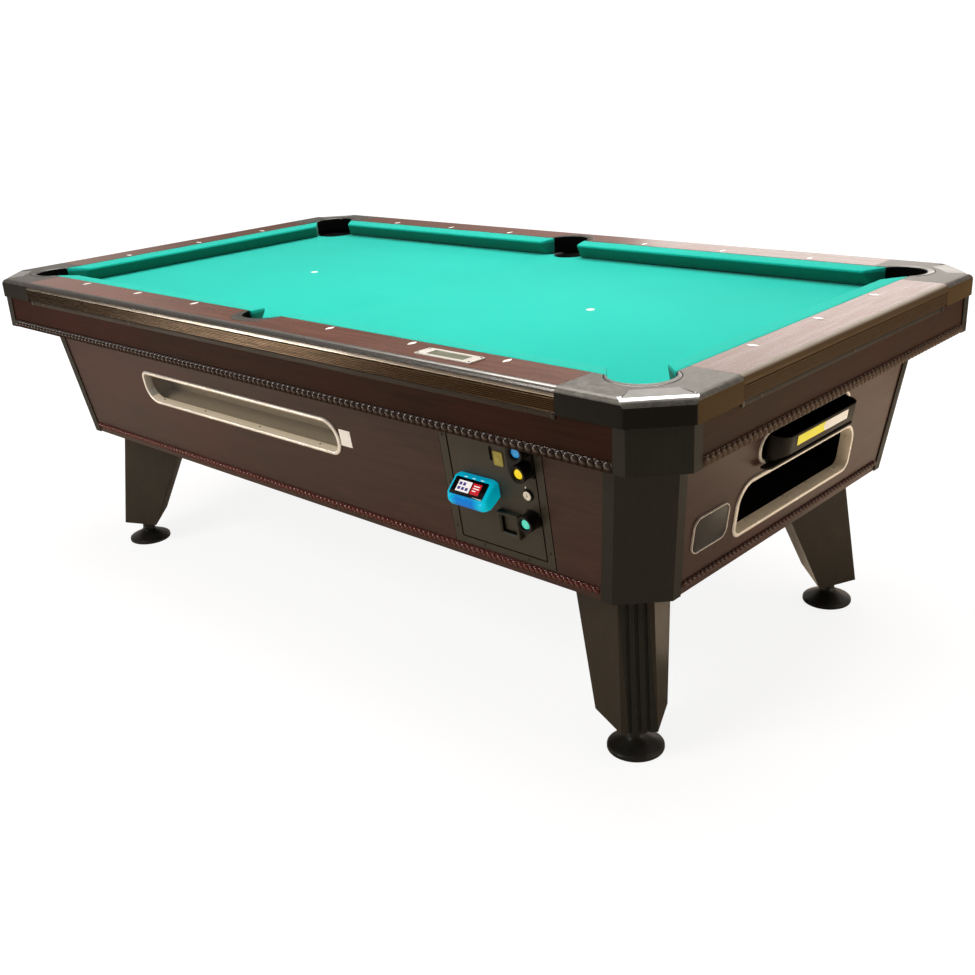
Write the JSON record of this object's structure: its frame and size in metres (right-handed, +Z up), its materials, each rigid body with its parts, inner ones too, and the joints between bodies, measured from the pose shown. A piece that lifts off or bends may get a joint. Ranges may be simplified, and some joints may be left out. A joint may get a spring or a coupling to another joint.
{
  "type": "coin-operated pool table",
  "caption": "Coin-operated pool table with slate bed, green cloth, ribbed rail trims, metal pocket corners, ball window, coin door with buttons and payment terminal, on splayed legs.",
  "frame": {"origin": "floor level under the middle of the bed", "axes": "+X along the table to the ball-return end, -Y to the side with the ball window and coin door, +Z up"},
  "size_m": [2.235, 1.265, 0.8106],
  "materials": {
    "cabinet_laminate": "dark brown satin laminate",
    "inner_board": "plain board",
    "slate": "honed",
    "green_cloth": "napped woven cloth",
    "bronze_trim": "bronze anodised, ribbed",
    "bright_trim": "bright satin",
    "rail_laminate": "red-brown satin laminate",
    "casting_metal": "brushed, polished edges",
    "corner_cover": "black satin",
    "leg_laminate": "black-brown laminate",
    "leveller_rubber": "black",
    "black_plastic": "black satin",
    "door_paint": "dark olive satin",
    "cyan_plastic": "glossy cyan",
    "blue_cap": "glossy",
    "yellow_cap": "glossy",
    "green_cap": "glossy",
    "plated_steel": "plated",
    "clear_acrylic": "clear",
    "screen_glass": "glossy dark screen",
    "white_inlay": "inlaid",
    "rope_moulding": "stained, twisted moulding",
    "yellow_label": "plain"
  },
  "bodies": {
    "cabinet": {"ball_rack": "inner_board", "ball_return": "bright_trim", "ball_runway_far": "black_plastic", "ball_runway_near": "black_plastic", "ball_window_pane": "clear_acrylic", "ball_window_trim": "bright_trim", "bed_cloth": "green_cloth", "bottom_panel": "inner_board", "cash_box": "plated_steel", "control_frame": "door_paint", "corner_casting_far_foot": "casting_metal", "corner_casting_far_head": "casting_metal", "corner_casting_near_foot": "casting_metal", "corner_casting_near_head": "casting_metal", "corner_post_far_foot": "corner_cover", "corner_post_far_head": "corner_cover", "corner_post_near_foot": "corner_cover", "corner_post_near_head": "corner_cover", "cue_ball_tray": "black_plastic", "cushion_far_foot": "green_cloth", "cushion_far_head": "green_cloth", "cushion_foot_end": "green_cloth", "cushion_head_end": "green_cloth", "cushion_near_foot": "green_cloth", "cushion_near_head": "green_cloth", "foot_end": "cabinet_laminate", "front_side": "cabinet_laminate", "head_end": "cabinet_laminate", "leg_far_foot": "leg_laminate", "leg_far_head": "leg_laminate", "leg_near_foot": "leg_laminate", "leg_near_head": "leg_laminate", "rail_counter": "bright_trim", "rail_far": "rail_laminate", "rail_foot": "rail_laminate", "rail_head": "rail_laminate", "rail_near": "rail_laminate", "rail_trim_far": "bronze_trim", "rail_trim_foot": "bronze_trim", "rail_trim_head": "bronze_trim", "rail_trim_near": "bronze_trim", "rear_side": "cabinet_laminate", "side_casting_far": "casting_metal", "side_casting_near": "casting_metal", "slate_bed": "slate"},
    "coin_door": {"coin_door": "door_paint", "pay_terminal": "cyan_plastic", "button_barrels_upper": "black_plastic", "button_barrel_lower": "black_plastic", "coin_cup": "black_plastic"},
    "blue_button": {"button_blue": "blue_cap"},
    "yellow_button": {"button_yellow": "yellow_cap"},
    "green_button": {"button_green": "green_cap"},
    "lock_cylinder": {"door_lock": "plated_steel"},
    "return_flap": {"coin_return_flap": "door_paint"},
    "gate": {"ball_gate": "plated_steel"},
    "foot_near_foot": {"leveller_near_foot": "leveller_rubber"},
    "foot_near_head": {"leveller_near_head": "leveller_rubber"},
    "foot_far_foot": {"leveller_far_foot": "leveller_rubber"},
    "foot_far_head": {"leveller_far_head": "leveller_rubber"}
  },
  "joints": [
    {"name": "coin_door_hinge", "type": "hinge", "parent": "cabinet", "child": "coin_door", "pos_m": [0.5437, -0.5234, 0.53], "axis": [0, 0.1357, -0.9907], "range_deg": [0, 100]},
    {"name": "blue_button_press", "type": "slide", "parent": "coin_door", "child": "blue_button", "axis": [0, 0.9907, 0.1357], "range_m": [0, 0.004], "stiffness_N_per_m": 400},
    {"name": "yellow_button_press", "type": "slide", "parent": "coin_door", "child": "yellow_button", "axis": [0, 0.9907, 0.1357], "range_m": [0, 0.004], "stiffness_N_per_m": 400},
    {"name": "green_button_press", "type": "slide", "parent": "coin_door", "child": "green_button", "axis": [0, 0.9907, 0.1357], "range_m": [0, 0.004], "stiffness_N_per_m": 400},
    {"name": "lock_turn", "type": "hinge", "parent": "coin_door", "child": "lock_cylinder", "pos_m": [0.74, -0.526, 0.549], "axis": [0, 0.9907, 0.1357], "range_deg": [0, 90]},
    {"name": "return_flap_hinge", "type": "hinge", "parent": "coin_door", "child": "return_flap", "pos_m": [0.6865, -0.51915, 0.49161], "axis": [1, 0, 0], "range_deg": [0, 55]},
    {"name": "ball_gate_hinge", "type": "hinge", "parent": "cabinet", "child": "gate", "pos_m": [0.262, -0.4703, 0.57705], "axis": [0, -0.9907, -0.1357], "range_deg": [0, 70]},
    {"name": "leveller_turn_near_foot", "type": "hinge", "parent": "cabinet", "child": "foot_near_foot", "pos_m": [0.891, -0.404, 0.05], "axis": [0, 0, 1], "continuous": true},
    {"name": "leveller_turn_near_head", "type": "hinge", "parent": "cabinet", "child": "foot_near_head", "pos_m": [-0.891, -0.404, 0.05], "axis": [0, 0, 1], "continuous": true},
    {"name": "leveller_turn_far_foot", "type": "hinge", "parent": "cabinet", "child": "foot_far_foot", "pos_m": [0.891, 0.404, 0.05], "axis": [0, 0, 1], "continuous": true},
    {"name": "leveller_turn_far_head", "type": "hinge", "parent": "cabinet", "child": "foot_far_head", "pos_m": [-0.891, 0.404, 0.05], "axis": [0, 0, 1], "continuous": true}
  ]
}
